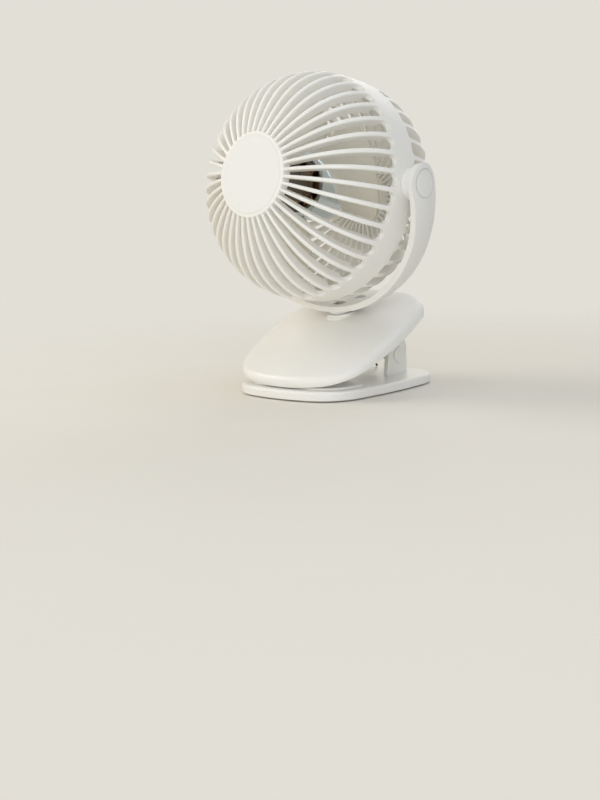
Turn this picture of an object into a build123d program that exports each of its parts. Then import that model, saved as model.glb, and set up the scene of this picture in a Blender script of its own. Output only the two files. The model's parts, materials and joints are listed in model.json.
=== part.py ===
from build123d import *
import os
from math import atan2, ceil, cos, degrees, hypot, pi, radians, sin, sqrt, tan

os.makedirs("parts", exist_ok=True)

# Clip-and-stand desk fan, in millimetres. +Z is up, the jaws point to -Y, the pivots lie along X.
# The origin is on the table, under the middle of the lower jaw.

# Driving sizes
head_radius = 68.9
head_front_depth = 59.8
head_rear_depth = 49.0
plate_length = 116.6
plate_width = 92.0
body_length = 111.5
body_width = 101.0
body_slope = 24.0
swivel_lean = 13.3
head_rise = 8.1
rib_count = 40
blade_count = 3
blade_radius = 55.5

# Walls and clearances
shell_wall = 2.2
seat_gap = 0.15
run_gap = 0.05
shaft_gap = 0.03
fit_gap = 0.02
side_gap = 0.35
rest_gap = 0.1
touch_gap = 0.3
free_gap = 0.5

# Lower jaw
foot_height = 0.8
foot_sink = 0.6
foot_inset = 5.5
plate_thickness = 5.6
plate_end_bow = 8.0
plate_side_bow = 4.5
plate_corner = 27.0
plate_top = foot_height + plate_thickness
pad_rise = 1.2
pad_sink = 0.6
pad_inset = 6.0
pad_front = 9.0
pad_back_y = -20.0
hinge_y = 31.0
hinge_z = plate_top + 12.0
ear_radius = 9.0
ear_rise = 3.5
ear_thickness = 3.4
ear_outer_x = 25.3
ear_foot_front = 19.3
ear_foot_back = 39.7
pin_radius = 2.0
pin_head_radius = 5.0
pin_head_height = 1.2
nut_height = 1.8
spring_wire = 0.7
spring_radius = 4.4
spring_pitch = 2.1
spring_turns = 6
spring_low_angle = 40.0
spring_high_angle = 96.0

# Upper jaw body, measured square to its sloping rim plane
tip_gap = 0.45
body_y = -2.0
body_z = plate_top + tip_gap + body_length / 2 * sin(radians(body_slope))
body_end_bow = 10.0
body_side_bow = 6.5
body_corner = 29.0
crown_height = 12.3
crown_shift = 6.0
crown_radius = 270.0
body_edge = 4.4
rim_edge = 0.6
collar_shift = 15.0
seat_rise = 0.7
seat_radius = 9.5
cover_thickness = 1.3
cover_lift = 0.2
belly_depth = 4.0
belly_wall = 1.8
belly_length = 82.0
belly_width = 80.0
lug_radius = 6.0
lug_thickness = 3.2
cover_screw_x = 33.0
cover_screw_y = 37.0
screw_radius = 1.1
screw_head_radius = 2.4
screw_head_height = 0.9

# Inside the upper jaw body
cell_size = (50.0, 34.0, 6.0)
cell_shift = -14.5
board_size = (24.0, 23.0, 1.2)
board_back = 49.5
board_lift = 2.7
socket_size = (9.0, 8.6, 3.2)
socket_wall = 0.35
button_shift = 34.0
button_radius = 4.8
button_travel = 0.5
switch_size = (6.0, 6.0, 1.5)
light_radius = 1.1
light_x = 10.0

# Yoke
arm_gap = 3.9
yoke_edge = 2.8
yoke_crown = 4.6
arm_top_radius = 11.5
arm_half_width = 8.8
arm_taper_drop = 34.0
post_radius = 6.0
post_bore = 3.2
post_length = 10.0
collar_gap = 0.3
collar_step = 1.5
pivot_cap_radius = 8.4
pivot_cap_sink = 1.5
pivot_cap_gap = 0.1
pivot_drop = 1.6
channel_width = 7.0
channel_depth = 2.9
strip_thickness = 0.9
lead_radius = 0.85

# Head
band_front = 9.7
band_rear = 4.0
seam = 0.15
shoulder_radius = 48.3
hub_radius = 24.9
hub_height = 6.0
hub_proud = 0.5
cap_radius = 22.6
cap_sink = 1.6
cap_proud = 0.15
band_wall = 3.2
rib_depth = 6.0
rib_rim_width = 2.9
rib_hub_width = 1.9
rib_round = 0.85
slot_front = 12.9
slot_rear = 3.8
slot_corner = 1.8
rear_hub_radius = 18.0
rear_hub_width = 1.3
rear_round = 0.58
lip_wall = 1.6
lip_reach = 4.0
trunnion_neck = 6.0
trunnion_flange = 8.6
trunnion_boss = 9.4
journal_radius = 5.0
journal_bore = 2.6

# Motor and fan
fan_hub_radius = 20.0
fan_hub_front = 20.0
fan_hub_back = -2.4
fan_hub_wall = 1.7
ring_wall = 1.4
magnet_wall = 1.8
air_gap = 0.5
tube_radius = 6.6
tube_bore = 4.4
shaft_radius = 1.5
flange_radius = 19.0
flange_thickness = 2.4
motor_screw_circle = 14.5
pole_count = 6
core_height = 8.0
core_front = 14.5
tooth_width = 3.6
coil_thickness = 1.7
blade_thickness = 1.7
blade_axial = 20.0
blade_span = 82.0

# Shared frames
rib_pitch = 360.0 / rib_count
slope = radians(body_slope)
lean = radians(swivel_lean)
rise = radians(head_rise)
body_frame = Plane(origin=(0, body_y, body_z), x_dir=(1, 0, 0), z_dir=(0, -sin(slope), cos(slope)))


def crown_at(x, y):
    """Height of the body's crown over its rim plane."""
    return crown_height - crown_radius + sqrt(crown_radius**2 - x**2 - (y - crown_shift) ** 2)


collar = body_frame.from_local_coords(Vector(0, collar_shift, crown_at(0, collar_shift) + seat_rise))
swivel_frame = Plane(origin=collar, x_dir=(1, 0, 0), z_dir=(0, -sin(lean), cos(lean)))

# The head's dome: a shoulder arc that runs into a crown arc centred on the head's axis
shoulder_x = head_radius - shoulder_radius
head_sweep = hypot(shoulder_x, band_front) + shoulder_radius
arm_inner = head_sweep + arm_gap
swivel_gap = 1.0
pivot_height = arm_inner + yoke_crown + swivel_gap
dome_k = hub_radius**2 + head_front_depth**2 - shoulder_radius**2 - shoulder_x**2 - band_front**2
dome_m = 2 * (head_front_depth - band_front)
dome_a = dome_m**2 - 4 * shoulder_radius**2
dome_b = 8 * shoulder_radius**2 * band_front - 2 * dome_k * dome_m
dome_c = dome_k**2 - 4 * shoulder_radius**2 * (shoulder_x**2 + band_front**2)
dome_roots = [(-dome_b + s * sqrt(dome_b**2 - 4 * dome_a * dome_c)) / (2 * dome_a) for s in (1, -1)]
dome_z = [z for z in dome_roots if dome_k - dome_m * z > 0][0]
dome_radius = hypot(hub_radius, head_front_depth - dome_z)
dome_turn = degrees(atan2(band_front - dome_z, shoulder_x))
dome_end = degrees(atan2(head_front_depth - dome_z, hub_radius))
rear_radius = head_rear_depth - band_rear
rear_flat = head_radius - rear_radius

# The yoke is a little wider than deep: it bends about a middle just over the pivot
yoke_middle = swivel_frame.from_local_coords(Vector(0, 0, pivot_height))
yoke_frame = Plane(origin=yoke_middle, x_dir=(1, 0, 0), z_dir=(0, -sin(lean), cos(lean)))
pivot = yoke_frame.from_local_coords(Vector(0, 0, -pivot_drop))
head_frame = Plane(origin=pivot, x_dir=(1, 0, 0), z_dir=(0, -cos(rise), sin(rise)))
yoke_axle = Pos(0, 0, -pivot_drop)


def place(frame, shape):
    """The shape, drawn in its own frame, where it sits on the fan."""
    return Location(frame) * shape


def tube(outer, inner, low, high):
    """A ring or tube about Z."""
    body = Pos(0, 0, (low + high) / 2) * Cylinder(outer, high - low)
    return body - Pos(0, 0, (low + high) / 2) * Cylinder(inner, high - low + 2)


def rod(radius, low, high):
    """A round bar along Z."""
    return Pos(0, 0, (low + high) / 2) * Cylinder(radius, high - low)


def cross_rod(radius, low, high):
    """A round bar along X."""
    return Pos((low + high) / 2, 0, 0) * Rot(0, 90, 0) * Cylinder(radius, high - low)


def spun(points):
    """A solid turned about Z from a closed outline of radius and height."""
    return revolve(Plane.XZ * make_face(Polyline(*points, close=True)), Axis.Z)


def ring_of(shape, count, start=0.0):
    """The shape repeated evenly about Z."""
    return [Rot(0, 0, start + 360.0 * i / count) * shape for i in range(count)]


def bowed_outline(length, width, end_bow, side_bow, corner):
    """Outline with bowed ends and sides and round corners, its length along Y."""
    x = width / 2 - side_bow
    y = length / 2 - end_bow
    end_r = (x**2 + end_bow**2) / (2 * end_bow)
    side_r = (y**2 + side_bow**2) / (2 * side_bow)
    end_c = length / 2 - end_r
    side_c = width / 2 - side_r
    # The corner arc touches both bows from inside, so its centre is this far from each bow's centre
    to_end = end_r - corner
    to_side = side_r - corner
    apart = hypot(side_c, end_c)
    along = (to_end**2 - to_side**2 + apart**2) / (2 * apart)
    off = sqrt(to_end**2 - along**2)
    ux, uy = side_c / apart, -end_c / apart
    spots = [(along * ux + s * off * uy, end_c + along * uy - s * off * ux) for s in (1, -1)]
    cx, cy = max(spots)
    end_dir = atan2(cy - end_c, cx)
    side_dir = atan2(cy, cx - side_c)
    mid_dir = (end_dir + side_dir) / 2
    ex, ey = cx + corner * cos(end_dir), cy + corner * sin(end_dir)
    sx, sy = cx + corner * cos(side_dir), cy + corner * sin(side_dir)
    mx, my = cx + corner * cos(mid_dir), cy + corner * sin(mid_dir)
    edges = [
        ThreePointArc((-ex, -ey), (0, -length / 2), (ex, -ey)),
        ThreePointArc((ex, -ey), (mx, -my), (sx, -sy)),
        ThreePointArc((sx, -sy), (width / 2, 0), (sx, sy)),
        ThreePointArc((sx, sy), (mx, my), (ex, ey)),
        ThreePointArc((ex, ey), (0, length / 2), (-ex, ey)),
        ThreePointArc((-ex, ey), (-mx, my), (-sx, sy)),
        ThreePointArc((-sx, sy), (-width / 2, 0), (-sx, -sy)),
        ThreePointArc((-sx, -sy), (-mx, -my), (-ex, -ey)),
    ]
    return make_face(edges)


def plate_outline(inset):
    long = plate_length - 2 * inset
    wide = plate_width - 2 * inset
    return bowed_outline(long, wide, plate_end_bow, plate_side_bow, plate_corner - inset)


def body_outline(inset):
    long = body_length - 2 * inset
    wide = body_width - 2 * inset
    return bowed_outline(long, wide, body_end_bow, body_side_bow, body_corner - inset)


def pebble(inset, bottom):
    """The body's crowned form, drawn in by an inset, down to a level under the rim plane."""
    block = Pos(0, 0, bottom) * extrude(body_outline(inset), crown_height + 2 - bottom)
    ball = Pos(0, crown_shift, crown_height - crown_radius) * Sphere(crown_radius - inset)
    form = block & ball
    top = form.faces().sort_by(Axis.Z)[-1]
    return fillet(top.edges(), body_edge - inset)


def pad_outline():
    """The lower jaw pad's outline on the plate."""
    front = -plate_length / 2 + pad_front
    strip = Pos(0, (front + pad_back_y) / 2) * Rectangle(plate_width, pad_back_y - front)
    face = plate_outline(pad_inset) & strip
    return fillet(face.vertices(), 3.0)


def base_plate():
    plate = Pos(0, 0, foot_height) * extrude(plate_outline(0), plate_thickness)
    plate = fillet(plate.faces().sort_by(Axis.Z)[-1].edges(), 1.7)
    plate = fillet(plate.faces().sort_by(Axis.Z)[0].edges(), 1.0)
    foot = make_hull(
        [
            Line((ear_foot_front, plate_top - 1), (ear_foot_back, plate_top - 1)),
            *(Pos(hinge_y, hinge_z + ear_rise) * Circle(ear_radius)).edges(),
        ]
    )
    ear = extrude(Plane.YZ * make_face(foot.edges()), ear_thickness)
    ear = Pos(ear_outer_x - ear_thickness, 0, 0) * ear
    outer = ear.faces().sort_by(Axis.X)[-1]
    ear = fillet(outer.edges().filter_by(lambda e: e.center().Z > plate_top), 0.8)
    plate = plate + ear + mirror(ear, Plane.YZ)
    plate = plate - Pos(0, hinge_y, hinge_z) * cross_rod(pin_radius + fit_gap, -plate_width, plate_width)
    plate = plate - Pos(0, 0, plate_top - pad_sink) * extrude(pad_outline(), 3)
    return plate - Pos(0, 0, -1) * extrude(plate_outline(foot_inset), 1 + foot_height + foot_sink)


def foot_pad():
    pad = extrude(plate_outline(foot_inset + seat_gap), foot_height + foot_sink)
    return chamfer(pad.faces().sort_by(Axis.Z)[0].edges(), 0.3)


def lower_jaw_pad():
    pad = Pos(0, 0, plate_top - pad_sink) * extrude(offset(pad_outline(), -seat_gap), pad_sink + pad_rise)
    top = fillet(pad.faces().sort_by(Axis.Z)[-1].edges(), 0.5)
    grooves = []
    for i in range(4):
        y = -plate_length / 2 + pad_front + 6 + 6 * i
        grooves.append(Pos(0, y, plate_top + pad_rise) * Box(plate_width, 1.4, 0.6))
    keep = Pos(0, 0, plate_top) * extrude(offset(pad_outline(), -4.5), 4)
    return top - [g & keep for g in grooves]


def hinge_pin():
    reach = ear_outer_x + pin_head_height
    pin = cross_rod(pin_radius, -reach, ear_outer_x + fit_gap)
    head = cross_rod(pin_head_radius, ear_outer_x + fit_gap, reach)
    head = fillet(head.faces().sort_by(Axis.X)[-1].edges(), 0.5)
    return Pos(0, hinge_y, hinge_z) * (pin + head)


def hinge_pin_clip():
    clip = cross_rod(pin_head_radius, -ear_outer_x - nut_height, -ear_outer_x - fit_gap)
    clip = fillet(clip.faces().sort_by(Axis.X)[0].edges(), 0.5)
    bore = cross_rod(pin_radius + fit_gap, -ear_outer_x - pin_head_height - fit_gap, -ear_outer_x + 1)
    return Pos(0, hinge_y, hinge_z) * (clip - bore)


def spring_point(angle, start_angle):
    """A point of the coil and the coil's direction there, for an angle in degrees."""
    a = radians(angle)
    x = spring_pitch * (angle - start_angle) / 360.0 - spring_pitch * spring_turns / 2
    here = Vector(x, hinge_y + spring_radius * cos(a), hinge_z + spring_radius * sin(a))
    way = Vector(spring_pitch / (2 * pi), -spring_radius * sin(a), spring_radius * cos(a))
    return here, way.normalized()


def biarc(p0, t0, p1, t1):
    """Two arcs that leave p0 along t0 and reach p1 along t1."""
    v = p1 - p0
    t = t0 + t1
    k = 2 * (1 - t0.dot(t1))
    b = v.dot(t)
    d = (-b + sqrt(b * b + k * v.dot(v))) / k
    q0 = p0 + t0 * d
    q1 = p1 - t1 * d
    joint = (q0 + q1) * 0.5
    return [TangentArc(p0, joint, tangent=t0), TangentArc(joint, p1, tangent=(q1 - q0).normalized())]


def clip_spring():
    first = 90.0 - spring_low_angle
    last = spring_high_angle - 90.0 + 360.0 * spring_turns
    steps = ceil((last - first) / 90.0)
    knots = [spring_point(first + (last - first) * i / steps, first) for i in range(steps + 1)]
    p0, t0 = knots[0]
    p1, t1 = knots[-1]
    # The low leg ends just over the plate, the high leg just under the tray
    low_end = plate_top + rest_gap + spring_wire * sqrt(1 - t0.Z**2)
    low_leg = (p0.Z - low_end) / t0.Z
    up = t1.dot(body_frame.z_dir)
    high_end = -belly_depth - touch_gap - spring_wire * sqrt(1 - up**2)
    high_leg = (high_end - body_frame.to_local_coords(p1).Z) / up
    start = p0 - t0 * low_leg
    edges = [Line(start, p0)]
    for (a, ta), (b, tb) in zip(knots, knots[1:]):
        edges += biarc(a, ta, b, tb)
    edges.append(Line(p1, p1 + t1 * high_leg))
    path = Wire(edges)
    section = Plane(origin=start, z_dir=t0) * Circle(spring_wire)
    count = 600
    points = [path.position_at(i / count) for i in range(count + 1)]
    skip = ceil(8 * spring_wire / (path.length / count))
    pairs = [(i, j) for i in range(count + 1) for j in range(i + skip, count + 1)]
    gap = min((points[i] - points[j]).length for i, j in pairs) - 2 * spring_wire
    print("clip_spring: least gap to itself", round(gap, 3), "mm")
    return sweep(section, path)


def seat_boss(low):
    """The raised seat of the swivel, drawn in the swivel's frame."""
    skirt = spun([(0, low), (seat_radius + 5, low), (seat_radius, -1.2), (seat_radius, 0), (0, 0)])
    return skirt


def body_shell():
    outer = pebble(0, 0)
    bottom = outer.faces().sort_by(Axis.Z)[0]
    outer = fillet(bottom.edges(), rim_edge)
    shell = outer - pebble(shell_wall, -3)
    bosses = []
    for x in (-cover_screw_x, cover_screw_x):
        for y in (-cover_screw_y, cover_screw_y):
            low = cover_lift + cover_thickness
            bosses.append(Pos(x, y, 0) * rod(3.0, low, crown_height) & pebble(shell_wall / 2, -3))
    shell = shell + bosses
    holes = []
    for x in (-cover_screw_x, cover_screw_x):
        for y in (-cover_screw_y, cover_screw_y):
            holes.append(Pos(x, y, 0) * rod(screw_radius + fit_gap, 0, 5.2))
    to_body = body_frame.location.inverse() * Location(swivel_frame)
    seat = to_body * seat_boss(-6.0) - pebble(0.6, -30)
    guide = to_body * rod(seat_radius, -6.5, -0.5) & pebble(shell_wall / 2, -3)
    face = to_body * rod(seat_radius + 0.6, 0, 12)
    well = to_body * rod(post_radius + run_gap, -20, 10)
    shell = shell + guide + seat - face - well
    shell = shell - holes
    shell = shell - Pos(0, button_shift, 0) * rod(button_radius + 0.2, 0, 30)
    shell = shell - Pos(light_x, button_shift, 0) * rod(light_radius + 0.05, 0, 30)
    size = socket_size
    slot = Box(size[0] + 0.4, 12, size[2] + 0.4)
    slot = fillet(slot.edges().filter_by(Axis.Y), 1.3)
    shell = shell - Pos(0, body_length / 2, board_lift + board_size[2] / 2) * slot
    return shell


def lug():
    """One hinge lug of the tray, drawn in the body's frame on its own side."""
    spot = body_frame.to_local_coords(Vector(0, hinge_y, hinge_z))
    outline = make_hull(
        [
            Line((spot.Y - 13, 1 - belly_depth), (spot.Y + 13, 1 - belly_depth)),
            *(Pos(spot.Y, spot.Z) * Circle(lug_radius)).edges(),
        ]
    )
    plate = extrude(Plane.YZ * make_face(outline.edges()), lug_thickness)
    plate = Pos(ear_outer_x - ear_thickness - side_gap - lug_thickness, 0, 0) * plate
    bore = Pos(0, spot.Y, spot.Z) * cross_rod(pin_radius + run_gap, 0, plate_width)
    return plate - bore


def body_cover():
    tray = Pos(0, 0, cover_lift) * extrude(body_outline(shell_wall + seat_gap), cover_thickness)
    tray = tray & pebble(shell_wall + seat_gap, -3)
    belly = bowed_outline(belly_length, belly_width, body_end_bow, body_side_bow, body_corner - 8)
    hollow = offset(belly, -belly_wall)
    form = Pos(0, 0, -belly_depth) * extrude(belly, belly_depth + cover_lift)
    form = fillet(form.faces().sort_by(Axis.Z)[0].edges(), 1.6)
    tray = tray + form
    tray = tray - Pos(0, 0, belly_wall - belly_depth) * extrude(hollow, belly_depth + 4)
    right = lug()
    tray = tray + right + mirror(right, Plane.YZ)
    for x in (-cover_screw_x, cover_screw_x):
        for y in (-cover_screw_y, cover_screw_y):
            tray = tray - Pos(x, y, 0) * rod(screw_radius + 0.1, -1, 4)
            tray = tray - Pos(x, y, 0) * rod(screw_head_radius + 0.2, -1, cover_lift + screw_head_height)
    return tray


def cover_screws():
    screws = []
    top = cover_lift + screw_head_height
    for x in (-cover_screw_x, cover_screw_x):
        for y in (-cover_screw_y, cover_screw_y):
            screw = rod(screw_radius, top, 5.0) + rod(screw_head_radius, cover_lift, top)
            screw = screw - Pos(0, 0, cover_lift) * (Box(3.2, 0.6, 0.9) + Box(0.6, 3.2, 0.9))
            screws.append(Pos(x, y, 0) * screw)
    return Compound(screws)


def upper_jaw_pad():
    low = -body_length / 2 + 5.0
    pad = Pos(0, low + 4.6, cover_lift - 0.75) * Box(44, 9.2, 1.5)
    pad = fillet(pad.edges().filter_by(Axis.Z), 3.5)
    return fillet(pad.faces().sort_by(Axis.Z)[0].edges(), 0.5)


def battery():
    cell = Pos(0, cell_shift, belly_wall - belly_depth + 0.2 + cell_size[2] / 2) * Box(*cell_size)
    cell = fillet(cell.edges().filter_by(Axis.Y), 2.2)
    tab = Pos(0, cell_shift + cell_size[1] / 2 + 1.2, belly_wall - belly_depth + 2.4)
    return cell + tab * Box(cell_size[0] - 14, 2.4, 1.2)


def control_board():
    y = board_back - board_size[1] / 2
    board = Pos(0, y, board_lift + board_size[2] / 2) * Box(*board_size)
    board = fillet(board.edges().filter_by(Axis.Z), 1.2)
    notch = socket_size
    board = board - Pos(0, body_length / 2 - notch[1], board_lift) * Box(notch[0] + 0.3, 12, 6)
    chips = [
        Pos(-6.5, y - 6, board_lift + board_size[2] + 0.6) * Box(5, 4, 1.2),
        Pos(7, y - 7, board_lift + board_size[2] + 0.5) * Box(3, 3, 1.0),
    ]
    return board + chips


def usb_socket():
    size = socket_size
    wall = socket_wall
    case = Box(size[0], size[1], size[2])
    case = fillet(case.edges().filter_by(Axis.Y), size[2] / 2 - 0.05)
    hole = Box(size[0] - 2 * wall, size[1], size[2] - 2 * wall)
    hole = fillet(hole.edges().filter_by(Axis.Y), size[2] / 2 - wall - 0.05)
    tongue = Pos(0, -0.9, 0) * Box(6.4, size[1] - 1.8, 0.7)
    socket = case - Pos(0, 1.2, 0) * hole + tongue
    return Pos(0, body_length / 2 - 0.4 - size[1] / 2, board_lift + board_size[2] / 2) * socket


def push_switch():
    low = board_lift + board_size[2]
    case = Pos(0, button_shift, low + switch_size[2] / 2) * Box(*switch_size)
    return fillet(case.edges().filter_by(Axis.Z), 0.6)


def status_light():
    low = board_lift + board_size[2]
    pipe = rod(light_radius, low, 14) & Pos(-light_x, -button_shift, 0) * pebble(0.1, -3)
    foot = Pos(0, 0, low + 0.6) * Box(2.8, 1.8, 1.2)
    return Pos(light_x, button_shift, 0) * (pipe + foot)


def power_button():
    low = board_lift + board_size[2] + switch_size[2] + button_travel + 0.1
    top = crown_at(0, button_shift) + 0.9
    cap = rod(button_radius, low + 0.7, top)
    cap = fillet(cap.faces().sort_by(Axis.Z)[-1].edges(), 0.5)
    dish = Pos(0, 0, top + 30 - 0.35) * Sphere(30)
    flange = rod(button_radius + 1.0, low + 0.5, low + 1.2)
    return Pos(0, button_shift, 0) * (cap - dish + flange + rod(2.0, low, low + 0.6))


def swivel_washer():
    return tube(seat_radius - 0.4, post_radius + 0.2, -7.5, -6.5)


def swivel_clip():
    ring = tube(seat_radius - 1.2, post_radius - 0.6, -8.5, -7.5)
    return ring - Pos(0, -seat_radius, -8) * Box(6.0, 2 * seat_radius - 2, 3)


def yoke_band():
    """The U-shaped arm, drawn about its middle with its post down."""
    half = arm_top_radius
    edge = arm_inner + yoke_edge
    crown = arm_inner + yoke_crown
    outline = [
        Line((arm_inner, -half), (edge, -half)),
        Bezier((edge, -half), (2 * crown - edge, 0), (edge, half)),
        Line((edge, half), (arm_inner, half)),
        Line((arm_inner, half), (arm_inner, -half)),
    ]
    section = Plane.XY * make_face(outline)
    bend = revolve(section, Axis.Y, 180)
    straight = extrude(section, half + 0.5)
    other = mirror(straight, Plane.YZ)
    band = bend + straight + other
    drop = -arm_taper_drop
    end = Pos(0, -pivot_drop) * Circle(arm_top_radius)
    top = make_hull([*end.edges(), Line((-arm_half_width, drop), (arm_half_width, drop))])
    view = make_face(top.edges()) + Pos(0, drop - arm_inner) * Rectangle(2 * arm_half_width, 2 * arm_inner)
    return band & extrude(Plane.YZ * view, 2 * arm_inner, both=True)


def yoke():
    post_low = -pivot_height - post_length
    collar_low = -pivot_height + collar_gap
    collar_top = -arm_inner - 0.7 * yoke_edge
    stem = spun(
        [
            (0, post_low),
            (post_radius, post_low),
            (post_radius, collar_low),
            (post_radius + collar_step, collar_low),
            (post_radius + 2 * collar_step, collar_top),
            (0, collar_top),
        ]
    )
    stem = stem - tube(post_radius + 3, post_radius - 0.65, post_low + 1.4, post_low + 2.6)
    form = yoke_band() + stem
    form = form - rod(post_bore, post_low - 2, -arm_inner + 2)
    outer = arm_inner + yoke_crown
    form = form - yoke_axle * cross_rod(journal_radius + run_gap, -outer - 5, outer + 5)
    low = outer - pivot_cap_sink - 2.4
    recess = yoke_axle * cross_rod(pivot_cap_radius + pivot_cap_gap, low, outer + 5)
    form = form - recess - mirror(recess, Plane.YZ)
    form = form - yoke_axle * cross_rod(trunnion_boss + free_gap, -arm_inner, arm_inner)
    return form - lead_channel(arm_inner - 1, arm_inner + channel_depth, channel_width, pivot_drop + 4.0)


def lead_channel(low, high, width, clear):
    """A curved bar along the left arm's inner face, from the post to the pivot."""
    side = width / 2
    outline = Polyline((low, side), (high, side), (high, -side), (low, -side), close=True)
    bar = revolve(make_face(outline), Axis.Y, 180)
    keep = Pos(-arm_inner / 2, 0, -arm_inner / 2 - clear) * Box(arm_inner, 40, arm_inner)
    wide = Pos(-arm_inner, 0, -arm_inner / 2 - clear) * Box(arm_inner + 10, 40, arm_inner)
    return bar & (keep + wide + Pos(0, 0, -arm_inner) * Box(2 * post_bore, 40, arm_inner))


def yoke_cover():
    gap = 0.1
    high = arm_inner + strip_thickness
    clear = pivot_drop + trunnion_boss + free_gap
    bar = lead_channel(arm_inner, high, channel_width - 2 * gap, clear)
    return bar & Pos(-arm_inner - post_bore - 1.0, 0, 0) * Box(2 * arm_inner, 60, 4 * arm_inner)


def yoke_lead():
    mid = arm_inner + channel_depth - lead_radius - 0.1
    ring = revolve(Pos(mid, 0) * Circle(lead_radius), Axis.Y, 180)
    low = -arm_inner - pivot_drop - 12
    keep = Pos(-arm_inner - post_bore - 2, 0, low) * Box(2 * arm_inner, 20, 2 * arm_inner)
    return ring & keep


def pivot_cap():
    outer = arm_inner + yoke_crown
    low = outer - pivot_cap_sink - 1.0
    disc = yoke_axle * cross_rod(pivot_cap_radius, low, outer + 5)
    return disc & yoke_band()


def dome_profile(inset, low_angle):
    """The dome's line from its band to its hub, drawn in by an inset, as two arcs."""
    return [
        CenterArc((shoulder_x, band_front), shoulder_radius - inset, low_angle, dome_turn - low_angle),
        CenterArc((0, dome_z), dome_radius - inset, dome_turn, dome_end - dome_turn),
    ]


def strip_face(outer, inner):
    """The face between two open lines that run the same way."""
    ends = [Line(outer[0] @ 0, inner[0] @ 0), Line(outer[-1] @ 1, inner[-1] @ 1)]
    return make_face(outer + inner + ends)


def taper_block(r_in, w_in, r_out, w_out, low, high):
    """A bar along X that widens outward."""
    plan = make_face(
        Polyline((r_in, -w_in / 2), (r_out, -w_out / 2), (r_out, w_out / 2), (r_in, w_in / 2), close=True)
    )
    return Pos(0, 0, low) * extrude(plan, high - low)


def on_dome(edge):
    """Whether a long rib edge lies on the dome's outer face."""
    p = edge.position_at(0.5)
    r = hypot(p.X, p.Y)
    a = abs(hypot(r - shoulder_x, p.Z - band_front) - shoulder_radius) < 0.02
    b = abs(hypot(r, p.Z - dome_z) - dome_radius) < 0.02
    return edge.length > 5 and (a or b)


def slot_radius():
    """Half the slot's width at the band."""
    return (head_radius * radians(rib_pitch) - rib_rim_width) / 2


def front_rib():
    root = slot_front + slot_radius()
    face = strip_face(dome_profile(0, 0), dome_profile(rib_depth, 0))
    skin = revolve(Plane.XZ * face, Axis.Z, 10)
    skin = Rot(0, 0, -5) * skin
    inside = hub_radius - 1.2
    bar = taper_block(inside, rib_hub_width, head_radius + 1, rib_rim_width, root, head_front_depth + 5)
    rib = skin & bar
    return fillet(rib.edges().filter_by(on_dome), rib_round)


def band_cutter(z):
    """A round radial hole that ends one slot."""
    return Pos(0, 0, z) * cross_rod(slot_radius(), head_radius - 14, head_radius + 6)


def trunnion_holes(radius):
    return cross_rod(radius, -head_radius - 9, head_radius + 9)


def motor_screw_spots():
    """Where the motor's screws stand on the hub."""
    return [Rot(0, 0, 120 * i + 30) * Pos(motor_screw_circle, 0, 0) for i in range(3)]


def front_grille():
    root = slot_front + slot_radius()
    root_angle = degrees(atan2(root - band_front, sqrt(shoulder_radius**2 - (root - band_front) ** 2)))
    root_r = shoulder_x + shoulder_radius * cos(radians(root_angle))
    inner_r = head_radius - band_wall
    mid_angle = radians(root_angle / 2)
    outline = [
        Line((inner_r, 0), (head_radius - seam, 0)),
        Line((head_radius - seam, 0), (head_radius, seam)),
        Line((head_radius, seam), (head_radius, band_front)),
        ThreePointArc(
            (head_radius, band_front),
            (shoulder_x + shoulder_radius * cos(mid_angle), band_front + shoulder_radius * sin(mid_angle)),
            (root_r, root),
        ),
        Line((root_r, root), (root_r - band_wall, root)),
        Line((root_r - band_wall, root), (inner_r, root - 4)),
        Line((inner_r, root - 4), (inner_r, 0)),
    ]
    band = revolve(Plane.XZ * make_face(outline), Axis.Z)
    band = band - ring_of(band_cutter(root), rib_count)
    top = head_front_depth + hub_proud
    hub = rod(hub_radius, top - hub_height, top)
    hub = fillet(hub.faces().sort_by(Axis.Z)[-1].edges(), 0.7)
    hub = fillet(hub.faces().sort_by(Axis.Z)[0].edges(), 0.5)
    hub = hub - rod(cap_radius + run_gap, top - cap_sink, top + 1)
    hub = hub - rod(tube_radius - 1, 0, 2 * top)
    hole = rod(screw_radius + fit_gap, 0, top - 2.4)
    hub = hub - [spot * hole for spot in motor_screw_spots()]
    ribs = ring_of(front_rib(), rib_count, rib_pitch / 2)
    grille = band.fuse(hub, *ribs)
    return grille - trunnion_holes(trunnion_neck + seat_gap)


def front_cap():
    top = head_front_depth + hub_proud
    disc = rod(cap_radius, top - cap_sink, top + cap_proud)
    return fillet(disc.faces().sort_by(Axis.Z)[-1].edges(), 0.25)


def on_rear(edge):
    """Whether a long rib edge lies on the rear dome's outer face."""
    p = edge.position_at(0.5)
    r = hypot(p.X, p.Y)
    a = abs(hypot(r - rear_flat, p.Z + band_rear) - rear_radius) < 0.02
    return edge.length > 5 and a


def rear_rib():
    root = slot_rear + slot_radius()
    outer = [
        CenterArc((rear_flat, -band_rear), rear_radius, 0, -90),
        Line((rear_flat, -head_rear_depth), (rear_hub_radius - 1.2, -head_rear_depth)),
    ]
    inside = rib_depth - head_rear_depth
    inner = [
        CenterArc((rear_flat, -band_rear), rear_radius - rib_depth, 0, -90),
        Line((rear_flat, inside), (rear_hub_radius - 1.2, inside)),
    ]
    skin = revolve(Plane.XZ * strip_face(outer, inner), Axis.Z, 14)
    skin = Rot(0, 0, -7) * skin
    start = rear_hub_radius - 1.1
    bar = taper_block(start, rear_hub_width, head_radius + 1, rib_rim_width, -head_rear_depth - 5, -root)
    rib = skin & bar
    return fillet(rib.edges().filter_by(on_rear), rear_round)


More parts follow.
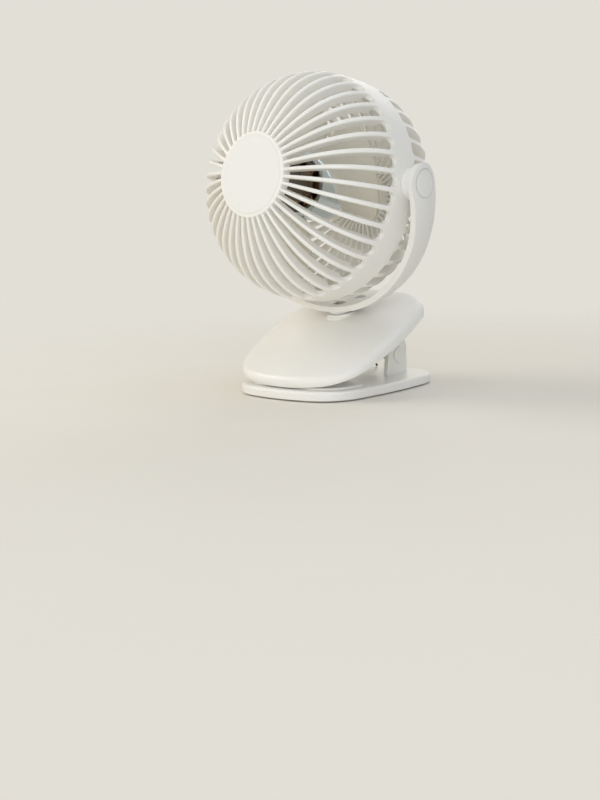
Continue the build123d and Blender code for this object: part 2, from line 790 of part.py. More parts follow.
def rear_grille():
    root = slot_rear + slot_radius()
    drop = root - band_rear
    root_r = rear_flat + sqrt(rear_radius**2 - drop**2)
    half = drop / 2
    inner_r = head_radius - band_wall
    outline = [
        Line((inner_r, 0), (head_radius - seam, 0)),
        Line((head_radius - seam, 0), (head_radius, -seam)),
        Line((head_radius, -seam), (head_radius, -band_rear)),
        ThreePointArc(
            (head_radius, -band_rear),
            (rear_flat + sqrt(rear_radius**2 - half**2), -band_rear - half),
            (root_r, -root),
        ),
        Line((root_r, -root), (root_r - band_wall, -root)),
        Line((root_r - band_wall, -root), (inner_r, 4 - root)),
        Line((inner_r, 4 - root), (inner_r, 0)),
    ]
    band = revolve(Plane.XZ * make_face(outline), Axis.Z)
    lip_r = inner_r - seat_gap
    lip = tube(lip_r, lip_r - lip_wall, -2.5, lip_reach)
    joint = tube(inner_r + 0.5, lip_r - lip_wall, -3.5, -0.6)
    band = band + joint + lip
    band = band - cross_rod(trunnion_flange + free_gap, -lip_r - 0.01, lip_r + 0.01)
    wide = 2 * slot_radius()
    window = fillet(Box(20, wide, wide).edges().filter_by(Axis.X), slot_corner)
    windows = ring_of(Pos(head_radius - 4, 0, -root) * window, rib_count)
    # Beside the pivots the band stays closed
    heights = [head_radius * sin(radians(rib_pitch * i)) for i in range(rib_count)]
    band = band - [w for w, y in zip(windows, heights) if abs(y) > trunnion_boss]
    low = -head_rear_depth - 0.4
    hub = rod(rear_hub_radius, low, low + 3.6)
    hub = fillet(hub.faces().sort_by(Axis.Z)[0].edges(), 0.8)
    hub = hub - Pos(0, 0, low - 0.01) * tube(rear_hub_radius - 2.6, rear_hub_radius - 3.4, 0, 0.5)
    grille = band.fuse(hub, *ring_of(rear_rib(), rib_count, rib_pitch / 2))
    return grille - trunnion_holes(trunnion_neck + seat_gap)


def trunnion():
    """One pivot of the head, on its right side: flange, neck, boss and journal."""
    inner_r = head_radius - band_wall
    outer = arm_inner + yoke_crown
    flange = cross_rod(trunnion_flange, inner_r - 3.4, inner_r) & rod(inner_r - 0.9, -20, 20)
    neck = cross_rod(trunnion_neck, inner_r - 2.5, head_radius + 1)
    boss = cross_rod(trunnion_boss, head_radius - 2, arm_inner - side_gap)
    boss = boss - rod(head_radius + seat_gap, -30, 30)
    tip = outer - pivot_cap_sink - 1.3
    journal = cross_rod(journal_radius, arm_inner - side_gap - 0.5, tip)
    form = flange + neck + boss + journal
    low = tip - 1.0
    groove = Rot(0, 90, 0) * tube(journal_radius + 2, journal_radius - 0.6, low, low + 0.7)
    return form - groove - cross_rod(journal_bore, 0, head_radius * 2)


def trunnion_clip():
    outer = arm_inner + yoke_crown
    low = outer - pivot_cap_sink - 2.3
    ring = Rot(0, 90, 0) * tube(journal_radius + 2.0, journal_radius - 0.55, low + 0.05, low + 0.65)
    return ring - Pos(low, 0, -journal_radius) * Box(6, 5.0, 2 * journal_radius - 1)


def motor_bracket():
    top = head_front_depth + hub_proud - hub_height - 0.02
    plate = rod(flange_radius, top - flange_thickness, top)
    plate = fillet(plate.faces().sort_by(Axis.Z)[0].edges(), 0.8)
    low = core_front - core_height - 1.6
    post = rod(tube_radius, low, top)
    cone = Pos(0, 0, top - flange_thickness - 3) * Cone(tube_radius, tube_radius + 4, 6)
    form = plate + post + cone
    form = form - rod(tube_bore, low - 1, top + 1)
    form = form - tube(tube_radius + 1, tube_radius - 0.6, low - 1, core_front + 1.4)
    hole = rod(screw_radius + rest_gap, 0, top + 1)
    return form - [spot * hole for spot in motor_screw_spots()]


def motor_screws():
    top = head_front_depth + hub_proud - hub_height - 0.02
    low = top - flange_thickness
    screw = rod(screw_radius, low - 0.5, top + 2.6) + rod(screw_head_radius, low - 1.4, low - 0.01)
    screw = screw - Pos(0, 0, low - 1.4) * (Box(3.2, 0.6, 1.2) + Box(0.6, 3.2, 1.2))
    return Compound([spot * screw for spot in motor_screw_spots()])


def stator_limits():
    """The stator's bore and outer radius."""
    bore = tube_radius - 0.6 + 0.02
    outer = fan_hub_radius - fan_hub_wall - ring_wall - magnet_wall - air_gap
    return bore, outer


def star(grow, low, high):
    """A toothed star with pole shoes, thickened by a growth."""
    bore, outer = stator_limits()
    core = Circle(bore + 2.6 + grow)
    tooth = Pos((bore + outer) / 2, 0) * Rectangle(outer - bore - 0.8, tooth_width + 2 * grow)
    shoe_angle = 360.0 / pole_count - 14.0
    shoe = Circle(outer) - Circle(outer - 1.3)
    wedge = make_face(
        Polyline(
            (0, 0),
            (2 * outer, -2 * outer * tan(radians(shoe_angle / 2))),
            (2 * outer, 2 * outer * tan(radians(shoe_angle / 2))),
            close=True,
        )
    )
    arm = tooth + (shoe & wedge)
    plan = core
    for turned in ring_of(arm, pole_count):
        plan = plan + turned
    return Pos(0, 0, low) * extrude(plan - Circle(bore), high - low)


def stator_core():
    return star(0, core_front - core_height, core_front)


def stator_insulator():
    front = star(0.25, core_front + 0.01, core_front + 0.9)
    back = star(0.25, core_front - core_height - 0.9, core_front - core_height - 0.01)
    return Compound([front.solid(), back.solid()])


def stator_coils():
    bore, outer = stator_limits()
    low = core_front - core_height - 0.9
    high = core_front + 0.9
    r_in = bore + 3.2
    r_out = outer - 2.2
    half = tooth_width / 2 + 0.3
    body = Pos((r_in + r_out) / 2, 0, (low + high) / 2)
    coil = body * Box(r_out - r_in, 2 * half + 2 * coil_thickness, high - low + 2 * coil_thickness)
    coil = fillet(coil.edges().filter_by(Axis.X), coil_thickness - 0.2)
    coil = coil - body * Box(r_out - r_in + 2, 2 * half, high - low + 0.04)
    return Compound([c.solid() for c in ring_of(coil, pole_count)])


def motor_board():
    low = core_front + 4.0
    bore = tube_radius + 0.05
    board = tube(11.0, bore, low, low + 1.0)
    chip = Pos(0, 8.8, low + 1.5) * Box(4.0, 2.6, 1.0)
    return board + chip


def shaft_bearings():
    top = head_front_depth + hub_proud - hub_height
    low = core_front - core_height - 1.6
    one = tube(tube_bore - 0.01, shaft_radius + shaft_gap, low + 0.5, low + 6.5)
    two = tube(tube_bore - 0.01, shaft_radius + shaft_gap, top - 16.0, top - 10.0)
    return Compound([one.solid(), two.solid()])


def motor_shaft():
    top = head_front_depth + hub_proud - hub_height
    shaft = rod(shaft_radius, fan_hub_back + 0.8, top - 7.5)
    shaft = chamfer(shaft.faces().sort_by(Axis.Z)[-1].edges(), 0.3)
    return shaft - tube(shaft_radius + 1, shaft_radius - 0.4, top - 9.3, top - 8.6)


def shaft_clip():
    top = head_front_depth + hub_proud - hub_height
    ring = tube(shaft_radius + 1.6, shaft_radius - 0.35, top - 9.25, top - 8.65)
    return ring - Pos(0, -shaft_radius - 0.8, top - 9) * Box(1.8, 2 * shaft_radius, 3)


def head_lead():
    """The lead from the left trunnion's bore along one rib to the motor's board."""
    deep = rib_depth + lead_radius + 0.35
    inner_r = head_radius - band_wall
    bend = 2.0
    # The trunnion's bore lies half a rib pitch away from the rib that the lead follows
    aside = radians(rib_pitch / 2)
    way = Vector(cos(aside), -sin(aside), 0)
    in_bore = way * (inner_r - 1.0)
    in_r = inner_r - 3.4 - lead_radius - 0.6
    turn_a = way * (in_r + bend)
    turn_b = way * in_r + Vector(0, 0, bend)
    turn_c = way * in_r + Vector(0, 0, band_front + 3)
    on_rib = 36.0
    low = Plane.XZ * CenterArc((shoulder_x, band_front), shoulder_radius - deep, on_rib, dome_turn - on_rib)
    high = Plane.XZ * CenterArc((0, dome_z), dome_radius - deep, dome_turn, dome_end - dome_turn - 3.0)
    edges = [Line(in_bore, turn_a), TangentArc(turn_a, turn_b, tangent=way * -1), Line(turn_b, turn_c)]
    edges += biarc(turn_c, Vector(0, 0, 1), low @ 0, low % 0)
    path = Wire(edges + [low.edge(), high.edge()])
    section = Plane(origin=in_bore, z_dir=way * -1) * Circle(lead_radius)
    return Rot(0, 0, 180 + rib_pitch / 2) * sweep(section, path)


def blade():
    """One blade along +X, twisted from its root to its tip and trimmed to a rounded plan."""
    mid = (fan_hub_front + fan_hub_back) / 2
    stations = [fan_hub_radius - 3.0, (fan_hub_radius + blade_radius) / 2, blade_radius + 4]
    sections = []
    for r in stations:
        reach = r * tan(radians(min(blade_span, 84) / 2))
        pitch = atan2(blade_axial / 2, reach)
        chord = 2 * hypot(reach, blade_axial / 2) * 1.04
        bow = chord * 0.06
        lift = blade_thickness / 2
        ends = chord / 2
        outline = make_face(
            [
                ThreePointArc((-ends, lift), (0, bow + lift), (ends, lift)),
                Line((ends, lift), (ends, -lift)),
                ThreePointArc((ends, -lift), (0, bow - lift), (-ends, -lift)),
                Line((-ends, -lift), (-ends, lift)),
            ]
        )
        frame = Plane(origin=(r, 0, mid), x_dir=(0, cos(pitch), sin(pitch)), z_dir=(1, 0, 0))
        sections.append(frame * outline)
    sheet = loft(sections)
    half = radians(blade_span / 2)
    tip = blade_radius
    root = fan_hub_radius - 0.8
    tip_x, tip_y = tip * cos(half), tip * sin(half)
    root_x, root_y = root * cos(half), root * sin(half)
    plan = make_face(
        [
            Line((root_x, -root_y), (tip_x, -tip_y)),
            ThreePointArc((tip_x, -tip_y), (tip, 0), (tip_x, tip_y)),
            Line((tip_x, tip_y), (root_x, root_y)),
            ThreePointArc((root_x, root_y), (root, 0), (root_x, -root_y)),
        ]
    )
    corners = plan.vertices().filter_by(lambda v: hypot(v.X, v.Y) > tip - 1)
    plan = fillet(corners, 15)
    prism = Pos(0, 0, -60) * extrude(plan, 140)
    return sheet & prism


def fan_blades():
    cup = rod(fan_hub_radius, fan_hub_back, fan_hub_front)
    cup = fillet(cup.faces().sort_by(Axis.Z)[0].edges(), 2.0)
    inner = fan_hub_radius - fan_hub_wall
    cup = cup - rod(inner, fan_hub_back + 2.0, fan_hub_front + 1)
    boss_top = core_front - core_height - 2.2
    cup = cup + rod(4.0, fan_hub_back + 1, boss_top)
    cup = cup.fuse(*ring_of(blade(), blade_count, 8))
    cup = cup - rod(inner, fan_hub_back + 2.0, fan_hub_front + 1) + tube(4.0, 1, fan_hub_back + 1, boss_top)
    return cup - rod(shaft_radius + 0.01, fan_hub_back + 0.8, fan_hub_front)


def rotor_ring():
    outer = fan_hub_radius - fan_hub_wall - 0.02
    return tube(outer, outer - ring_wall, fan_hub_back + 2.02, fan_hub_front - 0.8)


def magnet_ring():
    outer = fan_hub_radius - fan_hub_wall - ring_wall - 0.04
    return tube(outer, outer - magnet_wall + 0.06, core_front - core_height - 1.5, core_front + 1.5)


def export(name, shape):
    """One piece to its own file."""
    shape.label = name
    export_step(shape, "parts/" + name + ".step")


export("base_plate", base_plate())
export("foot_pad", foot_pad())
export("lower_jaw_pad", lower_jaw_pad())
export("hinge_pin", hinge_pin())
export("hinge_pin_clip", hinge_pin_clip())
export("clip_spring", clip_spring())
for maker in (body_shell, body_cover, cover_screws, upper_jaw_pad, battery, control_board):
    export(maker.__name__, place(body_frame, maker()))
for maker in (usb_socket, push_switch, status_light, power_button):
    export(maker.__name__, place(body_frame, maker()))
for maker in (swivel_washer, swivel_clip):
    export(maker.__name__, place(swivel_frame, maker()))
for maker in (yoke, yoke_cover, yoke_lead):
    export(maker.__name__, place(yoke_frame, maker()))
export("pivot_cap_right", place(yoke_frame, pivot_cap()))
export("pivot_cap_left", place(yoke_frame, mirror(pivot_cap(), Plane.YZ)))
export("trunnion_right", place(head_frame, trunnion()))
export("trunnion_left", place(head_frame, mirror(trunnion(), Plane.YZ)))
clips = [trunnion_clip(), mirror(trunnion_clip(), Plane.YZ)]
export("trunnion_clips", place(head_frame, Compound([c.solid() for c in clips])))
for maker in (front_grille, front_cap, rear_grille, motor_bracket, motor_screws, stator_core):
    export(maker.__name__, place(head_frame, maker()))
for maker in (stator_insulator, stator_coils, motor_board, shaft_bearings, head_lead):
    export(maker.__name__, place(head_frame, maker()))
for maker in (fan_blades, rotor_ring, magnet_ring, motor_shaft, shaft_clip):
    export(maker.__name__, place(head_frame, maker()))

print("pivot", tuple(pivot), "collar", tuple(collar), "arm inner", arm_inner)
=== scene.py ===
import json

import bmesh
import bpy
from mathutils import Matrix, Vector


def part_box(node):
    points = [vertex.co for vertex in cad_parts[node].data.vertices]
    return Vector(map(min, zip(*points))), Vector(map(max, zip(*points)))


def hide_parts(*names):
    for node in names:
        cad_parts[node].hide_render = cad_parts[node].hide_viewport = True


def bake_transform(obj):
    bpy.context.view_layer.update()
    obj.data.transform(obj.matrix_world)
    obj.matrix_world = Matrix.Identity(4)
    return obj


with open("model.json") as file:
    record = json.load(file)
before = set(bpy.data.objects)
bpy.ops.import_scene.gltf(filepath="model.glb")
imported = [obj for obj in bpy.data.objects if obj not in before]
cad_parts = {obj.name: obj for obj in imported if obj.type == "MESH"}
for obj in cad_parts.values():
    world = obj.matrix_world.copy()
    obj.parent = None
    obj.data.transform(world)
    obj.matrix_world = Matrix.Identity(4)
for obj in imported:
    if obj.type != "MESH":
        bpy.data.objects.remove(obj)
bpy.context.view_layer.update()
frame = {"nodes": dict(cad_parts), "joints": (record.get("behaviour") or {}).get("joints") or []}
nodes = frame["nodes"]
joints = {joint["name"]: joint for joint in frame["joints"]}

# Where the fan's own axes lie, in metres, as the joints give them
pivot = Vector(joints["head_tilt"]["pos_m"])
across = Vector(joints["head_tilt"]["axis"]).normalized()
blow = Vector(joints["fan_spin"]["axis"]).normalized()

# What all the plastics share: the index of ABS, the width of the drift in their tone, and how deep light
# wanders in them, in metres, with red going furthest
plastic_ior = 1.53
drift_mm = 38
glow_depth = 0.0015
glow_tint = (1.0, 0.9, 0.7)

# What all the bare metals share: how far their roughness strays, and how deep, in metres, their mottle is
metal_spread = 0.08
mottle_depth = 0.00003

# The steel can in the middle of the blades, and the sharpness of its edge, in metres
can_radius = 0.0204
can_edge = 0.0001

# The seam on a pivot disc is painted shade, a grey ring in the disc's colour: where it starts and where it is
# full, inside the disc's edge, in metres
disc_low, disc_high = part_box("pivot_cap_right")
disc_radius = (disc_high[1] - disc_low[1]) / 2
painted_shade_start = 0.0006
painted_shade_full = 0.00018

# The sheet that the fan stands on, in metres: it is whole near the fan, and gone further out
sheet_radius = 1.6
sheet_sides = 96
sheet_whole = 0.12
sheet_gone = 0.6
fibre_mm = 60

# Where the lamps point, in metres, the side that the world's light is cooler on, and that light's level
lamp_aim = Vector((0.0, 0.0, 0.11))
cool_side = (0.80, -0.10, 0.45)
world_level = 0.43


def linear(code):
    """An sRGB hex colour as the linear colour that a shader takes."""
    parts = [int(code[i:i + 2], 16) / 255 for i in (1, 3, 5)]
    return [c / 12.92 if c <= 0.04045 else ((c + 0.055) / 1.055) ** 2.4 for c in parts] + [1.0]


def put(tree, kind, links=None, **settings):
    """Adds a node: plain settings by name, then a value or another node's socket for each input."""
    made = tree.nodes.new(kind)
    for name, value in settings.items():
        setattr(made, name, value)
    for key, value in (links or {}).items():
        socket = made.inputs[key]
        if isinstance(value, bpy.types.NodeSocket):
            tree.links.new(value, socket)
        else:
            socket.default_value = value
    return made


def blank(name):
    """An empty material, and its tree to fill."""
    material = bpy.data.materials.new(name)
    material.use_nodes = True
    material.node_tree.nodes.clear()
    return material, material.node_tree


def per_mm(size):
    """A noise scale whose features are about that many millimetres wide."""
    return 1000.0 / size


def moulded(name, pale, deep, rough, spread=0.05, grain_mm=0.5, depth_mm=0.02, glow=0.0):
    """Moulded plastic: a faint drift of tone across the piece, and the tool's fine spark-eroded grain.

    The glow is the share of the light that wanders through the plastic before it leaves.
    """
    material, tree = blank(name)
    where = put(tree, "ShaderNodeTexCoord").outputs["Object"]
    drift = put(tree, "ShaderNodeTexNoise", {
        "Vector": where, "Scale": per_mm(drift_mm), "Detail": 3.0, "Roughness": 0.5})
    tone = put(tree, "ShaderNodeMix", {
        "Factor": drift.outputs["Fac"], "A": linear(pale), "B": linear(deep)}, data_type="RGBA")
    grain = put(tree, "ShaderNodeTexNoise", {"Vector": where, "Scale": per_mm(grain_mm), "Detail": 2.0})
    gloss = put(tree, "ShaderNodeMapRange", {
        "Value": grain.outputs["Fac"], "From Min": 0.3, "From Max": 0.7,
        "To Min": rough - spread, "To Max": rough + spread})
    relief = put(tree, "ShaderNodeBump", {
        "Height": grain.outputs["Fac"], "Strength": 0.25, "Distance": depth_mm / 1000})
    shader = put(tree, "ShaderNodeBsdfPrincipled", {
        "Base Color": tone.outputs["Result"], "Roughness": gloss.outputs["Result"],
        "Normal": relief.outputs["Normal"], "IOR": plastic_ior, "Subsurface Weight": glow,
        "Subsurface Radius": glow_tint, "Subsurface Scale": glow_depth})
    put(tree, "ShaderNodeOutputMaterial", {"Surface": shader.outputs["BSDF"]})
    return material


def bare_metal(name, bright, dark, rough, mottle_mm, squeeze=(1.0, 1.0, 1.0)):
    """Metal with the fine mottle that its making leaves, squeezed along an axis where it is layered."""
    material, tree = blank(name)
    where = put(tree, "ShaderNodeTexCoord").outputs["Object"]
    squeezed = put(tree, "ShaderNodeMapping", {"Vector": where, "Scale": squeeze})
    mottle = put(tree, "ShaderNodeTexNoise", {
        "Vector": squeezed.outputs["Vector"], "Scale": per_mm(mottle_mm), "Detail": 4.0, "Roughness": 0.6})
    tone = put(tree, "ShaderNodeMix", {
        "Factor": mottle.outputs["Fac"], "A": linear(bright), "B": linear(dark)}, data_type="RGBA")
    gloss = put(tree, "ShaderNodeMapRange", {
        "Value": mottle.outputs["Fac"], "To Min": rough - metal_spread, "To Max": rough + metal_spread})
    relief = put(tree, "ShaderNodeBump", {
        "Height": mottle.outputs["Fac"], "Strength": 0.2, "Distance": mottle_depth})
    shader = put(tree, "ShaderNodeBsdfPrincipled", {
        "Base Color": tone.outputs["Result"], "Metallic": 1.0, "Roughness": gloss.outputs["Result"],
        "Normal": relief.outputs["Normal"]})
    put(tree, "ShaderNodeOutputMaterial", {"Surface": shader.outputs["BSDF"]})
    return material


def from_line(tree, point, along):
    """How far each spot of a piece lies from a line through a point, in metres."""
    where = put(tree, "ShaderNodeTexCoord").outputs["Object"]
    offset = put(tree, "ShaderNodeVectorMath", {0: where, 1: point}, operation="SUBTRACT")
    aside = put(tree, "ShaderNodeVectorMath", {0: offset.outputs["Vector"], 1: along},
                operation="CROSS_PRODUCT")
    length = put(tree, "ShaderNodeVectorMath", {0: aside.outputs["Vector"]}, operation="LENGTH")
    return length.outputs["Value"]


def overlay(material, mask, values):
    """Lays other values over a finish where the mask is 1."""
    tree = material.node_tree
    for name, value in values.items():
        socket = tree.nodes["Principled BSDF"].inputs[name]
        kind = "RGBA" if socket.type == "RGBA" else "FLOAT"
        below = socket.links[0].from_socket
        mixed = put(tree, "ShaderNodeMix", {"Factor": mask, "A": below, "B": value}, data_type=kind)
        tree.links.new(mixed.outputs["Result"], socket)


# Satin white ABS, moulded in a spark-eroded tool: broad soft highlights. The real grain is about 0.15 mm, and
# here and in the other plastics it is drawn coarser, at 0.4 mm or more, so that it shows
satin_white = {"pale": "#F1F0EC", "deep": "#EDEBE5", "rough": 0.34, "glow": 0.25}
white_abs = moulded("abs_white_satin", **satin_white)
# The thin ribs let a little light through, so their sides stay pale and their edges soft. Their plastic is
# also drawn paler than the shell's same white, a painted lightening that stands in for more light on the ribs
rib_abs_painted_paler = moulded("abs_white_thin_painted_paler", "#F5F3EE", "#F1EFE8", 0.34, glow=0.15)
# The cap in the hub ring is the same plastic from a finer tool: smoother, with a clearer sheen
cap_abs = moulded("abs_white_fine", "#F1F1EE", "#EEEDE9", 0.30, spread=0.03, grain_mm=0.4, depth_mm=0.01)
# Natural polypropylene for the blades: warmer than the shell, with a slight sheen
blade_pp = moulded("polypropylene_natural", "#E6E2D6", "#DED9CB", 0.36, grain_mm=0.8)
# Moulded silicone for the pads: dead matt, so their grooves show by shade alone
soft_pad = moulded("silicone_white_matt", "#F4F3EF", "#EFEDE8", 0.62, spread=0.06, grain_mm=0.6,
                   depth_mm=0.04)
# Grey ABS for the button: a shade that sets it off from the white body
grey_abs = moulded("abs_light_grey", "#C9CCCD", "#C2C5C6", 0.42)
# Undyed nylon for the swivel washer: waxy and yellowish
nylon = moulded("nylon_natural", "#E2D9BE", "#D6CBAC", 0.45, spread=0.06, grain_mm=0.7)
# Black ABS for the switch behind the button: a dull dark block
black_abs = moulded("abs_black", "#1B1B1C", "#242425", 0.45, spread=0.06)
# Paper-filled phenolic for the motor's board: brown and faintly mottled
phenolic = moulded("phenolic_board_brown", "#6E5A46", "#5B4937", 0.4, grain_mm=1.2, depth_mm=0.03)
# Glass-filled nylon for the motor's bracket and insulator: a dull brown-grey
dark_nylon = moulded("nylon_glass_filled_dark", "#756D5E", "#655D4F", 0.45, spread=0.06, grain_mm=0.7)
# Printed solder mask on the control board: a glossy green
solder_mask = moulded("solder_mask_green", "#1E5A38", "#174A2D", 0.3, grain_mm=1.6, depth_mm=0.03)
# Aluminised pouch round the cell: a soft silver, slightly wrinkled
pouch_foil = moulded("aluminised_pouch", "#B9BCC0", "#A9ACB1", 0.35, spread=0.08, grain_mm=2.5,
                     depth_mm=0.05)
# Extruded PVC round the leads: a plain satin grey
lead_pvc = moulded("pvc_lead_grey", "#6E6F70", "#626364", 0.5, spread=0.06, grain_mm=0.6)
# Polished acrylic for the light's window: glossy and cool
light_pipe = moulded("acrylic_clear_white", "#E6EEF0", "#DCE6EA", 0.15, spread=0.03, grain_mm=1.0,
                     depth_mm=0.01)
# Ferrite powder bonded in rubber for the magnet: matt and grainy
ferrite = moulded("ferrite_rubber_bonded", "#6B6358", "#5C554B", 0.55, spread=0.06, grain_mm=0.4,
                  depth_mm=0.04)

# Nickel plate on the rotor's ring: the brightest metal in the fan. The metals' mottle is really under 0.1 mm
# and is drawn at 0.35 mm or more so that it shows
nickel = bare_metal("steel_nickel_plated", "#E6ECF0", "#D0D8DD", 0.22, mottle_mm=0.6)
# Turned and pressed steel for screws, clips, shaft and socket: a plain grey shine
steel = bare_metal("steel_turned", "#B9BABC", "#9A9B9E", 0.32, mottle_mm=0.4)
# Spring wire drawn dark, with a dull shine
spring_wire = bare_metal("spring_steel_dark", "#59585A", "#434245", 0.38, mottle_mm=0.5)
# Stacked silicon steel for the stator: grey, with the sheets' edges as faint bands
lamination = bare_metal("silicon_steel_laminated", "#96958F", "#76756F", 0.45, mottle_mm=0.5,
                        squeeze=(1.0, 6.0, 1.0))
# Enamelled copper wire for the coils: a brownish, rather dull copper
copper = bare_metal("copper_enamelled_wire", "#A87C5C", "#7F5A42", 0.42, mottle_mm=0.45)
# Sintered bronze for the bearings: porous, so a dull gold
bronze = bare_metal("bronze_sintered", "#A8824E", "#86653A", 0.45, mottle_mm=0.35)

# The middle of the blades is a steel can round the motor: bluish and bright
tree = blade_pp.node_tree
can = put(tree, "ShaderNodeMapRange", {
    "Value": from_line(tree, pivot, blow), "From Min": can_radius - can_edge,
    "From Max": can_radius + can_edge, "To Min": 1.0, "To Max": 0.0}).outputs["Result"]
overlay(blade_pp, can, {"Base Color": linear("#DFE9F0"), "Roughness": 0.30})
tree.links.new(can, tree.nodes["Principled BSDF"].inputs["Metallic"])

# The pivot discs, of the same plastic as the arms, sit flush in them, and a fine seam of painted shade, a
# grey ring laid into their colour, runs along their edge
disc_abs_painted_seam = moulded("abs_white_disc_painted_seam_shade", **satin_white)
tree = disc_abs_painted_seam.node_tree
painted_seam_shade = put(tree, "ShaderNodeMapRange", {
    "Value": from_line(tree, pivot, across), "From Min": disc_radius - painted_shade_start,
    "From Max": disc_radius - painted_shade_full}).outputs["Result"]
overlay(disc_abs_painted_seam, painted_seam_shade, {"Base Color": linear("#C9CCCD")})

finish = {
    disc_abs_painted_seam: ["pivot_cap_right", "pivot_cap_left"],
    rib_abs_painted_paler: ["front_grille", "rear_grille"],
    white_abs: ["base_plate", "body_shell", "body_cover", "yoke", "yoke_cover", "trunnion_right",
                "trunnion_left", "hinge_pin", "hinge_pin_clip"],
    cap_abs: ["front_cap"],
    blade_pp: ["fan_blades"],
    soft_pad: ["foot_pad", "lower_jaw_pad", "upper_jaw_pad"],
    grey_abs: ["power_button"],
    nylon: ["swivel_washer"],
    dark_nylon: ["motor_bracket", "stator_insulator"],
    phenolic: ["motor_board"],
    black_abs: ["push_switch"],
    solder_mask: ["control_board"],
    pouch_foil: ["battery"],
    lead_pvc: ["yoke_lead", "head_lead"],
    light_pipe: ["status_light"],
    ferrite: ["magnet_ring"],
    steel: ["cover_screws", "usb_socket", "swivel_clip", "trunnion_clips", "motor_screws", "motor_shaft",
            "shaft_clip"],
    nickel: ["rotor_ring"],
    spring_wire: ["clip_spring"],
    lamination: ["stator_core"],
    copper: ["stator_coils"],
    bronze: ["shaft_bearings"],
}
for material, names in finish.items():
    for name in names:
        piece = nodes[name]
        piece.data.materials.clear()
        piece.data.materials.append(material)

# The clip spring is drawn by a copy of its mesh, set in world place, and the piece itself is hidden
spring = bpy.data.objects.new("clip_spring_wound", nodes["clip_spring"].data.copy())
bpy.context.scene.collection.objects.link(spring)
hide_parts("clip_spring")
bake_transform(spring)

# Stage: a pale round sheet of paper that thins out to nothing, so that no edge or horizon shows
sheet_paper, tree = blank("paper_pale")
where = put(tree, "ShaderNodeTexCoord").outputs["Object"]
fibre = put(tree, "ShaderNodeTexNoise", {"Vector": where, "Scale": per_mm(fibre_mm), "Detail": 3.0})
tone = put(tree, "ShaderNodeMix", {
    "Factor": fibre.outputs["Fac"], "A": linear("#EEEBE3"), "B": linear("#EBE7DF")}, data_type="RGBA")
paper = put(tree, "ShaderNodeBsdfPrincipled", {"Base Color": tone.outputs["Result"], "Roughness": 0.8})
reach = put(tree, "ShaderNodeVectorMath", {0: where}, operation="LENGTH")
fade = put(tree, "ShaderNodeMapRange", {
    "Value": reach.outputs["Value"], "From Min": sheet_whole, "From Max": sheet_gone},
    interpolation_type="SMOOTHSTEP")
clear = put(tree, "ShaderNodeBsdfTransparent")
thinned = put(tree, "ShaderNodeMixShader", {
    0: fade.outputs["Result"], 1: paper.outputs["BSDF"], 2: clear.outputs["BSDF"]})
put(tree, "ShaderNodeOutputMaterial", {"Surface": thinned.outputs["Shader"]})

sheet_mesh = bpy.data.meshes.new("stage_sheet")
sheet = bmesh.new()
bmesh.ops.create_circle(sheet, cap_ends=True, segments=sheet_sides, radius=sheet_radius)
sheet.to_mesh(sheet_mesh)
sheet.free()
floor = bpy.data.objects.new("stage_sheet", sheet_mesh)
floor.data.materials.append(sheet_paper)
bpy.context.scene.collection.objects.link(floor)


def lamp(name, place, size, power, colour):
    """A square soft lamp, in metres and watts, that points at the middle of the fan."""
    data = bpy.data.lights.new(name, "AREA")
    data.shape = "SQUARE"
    data.size = size
    data.energy = power
    data.color = linear(colour)[:3]
    made = bpy.data.objects.new(name, data)
    made.location = place
    made.rotation_mode = "QUATERNION"
    made.rotation_quaternion = (lamp_aim - Vector(place)).to_track_quat("-Z", "Y")
    made.visible_camera = False
    bpy.context.scene.collection.objects.link(made)


lamp("right_front", place=(0.78, -0.95, 0.28), size=0.8, power=5.2, colour="#F8FBFF")
lamp("front", place=(-0.20, -1.20, 0.26), size=0.8, power=2.1, colour="#FFFDF8")
lamp("upper_left", place=(-0.95, -0.50, 0.85), size=0.7, power=5.4, colour="#FFFDF6")
lamp("overhead", place=(0.25, 0.05, 1.40), size=1.2, power=3.0, colour="#F2F7FF")
lamp("rear", place=(-0.45, 1.15, 0.75), size=1.0, power=3.0, colour="#FFFDF8")

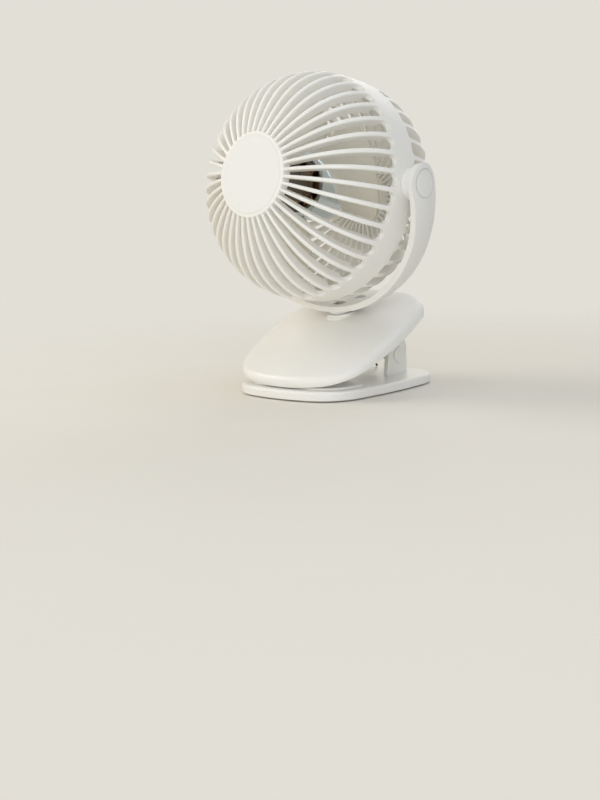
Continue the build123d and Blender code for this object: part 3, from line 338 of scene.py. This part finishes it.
# The world lights the fan softly, cooler from the upper right and warmer from the lower left. The eye sees it
# as a plain pale ground, and so does what shines or lets light through
world = bpy.data.worlds.new("studio")
bpy.context.scene.world = world
world.use_nodes = True
tree = world.node_tree
tree.nodes.clear()
toward = put(tree, "ShaderNodeTexCoord").outputs["Generated"]
lean = put(tree, "ShaderNodeVectorMath", {0: toward, 1: cool_side}, operation="DOT_PRODUCT")
turn = put(tree, "ShaderNodeMapRange", {"Value": lean.outputs["Value"], "From Min": -0.75, "From Max": 0.45},
           interpolation_type="SMOOTHSTEP")
soft_light = put(tree, "ShaderNodeMix", {
    "Factor": turn.outputs["Result"], "A": linear("#FFE6A6"), "B": linear("#F6FAFF")}, data_type="RGBA")
path = put(tree, "ShaderNodeLightPath")
seen = path.outputs["Is Camera Ray"]
for ray in ("Is Glossy Ray", "Is Transmission Ray"):
    seen = put(tree, "ShaderNodeMath", {0: seen, 1: path.outputs[ray]}, operation="MAXIMUM").outputs["Value"]
ambient = put(tree, "ShaderNodeBackground", {"Color": soft_light.outputs["Result"], "Strength": world_level})
ground = put(tree, "ShaderNodeBackground", {"Color": linear("#E2DFD7"), "Strength": 1.0})
mixed = put(tree, "ShaderNodeMixShader", {
    0: seen, 1: ambient.outputs["Background"], 2: ground.outputs["Background"]})
put(tree, "ShaderNodeOutputWorld", {"Surface": mixed.outputs["Shader"]})

# Camera: the photograph's place in metres, turn and lens, on a frame of 600 by 800
place = Vector((0.4507, -0.5355, 0.1092))
right = Vector((0.7458, 0.6654, -0.0315)).normalized()
forward = Vector((-0.6649, 0.7408, -0.0950)).normalized()
up = right.cross(forward).normalized()
right = forward.cross(up).normalized()
camera = bpy.data.objects.new("camera", bpy.data.cameras.new("camera"))
camera.matrix_world = Matrix((
    (right.x, up.x, -forward.x, place.x),
    (right.y, up.y, -forward.y, place.y),
    (right.z, up.z, -forward.z, place.z),
    (0, 0, 0, 1)))
camera.data.sensor_width = 36.0
camera.data.lens = 50.4
camera.data.shift_y = -0.0988
bpy.context.scene.collection.objects.link(camera)
bpy.context.scene.camera = camera
bpy.context.scene.view_settings.view_transform = "Standard"
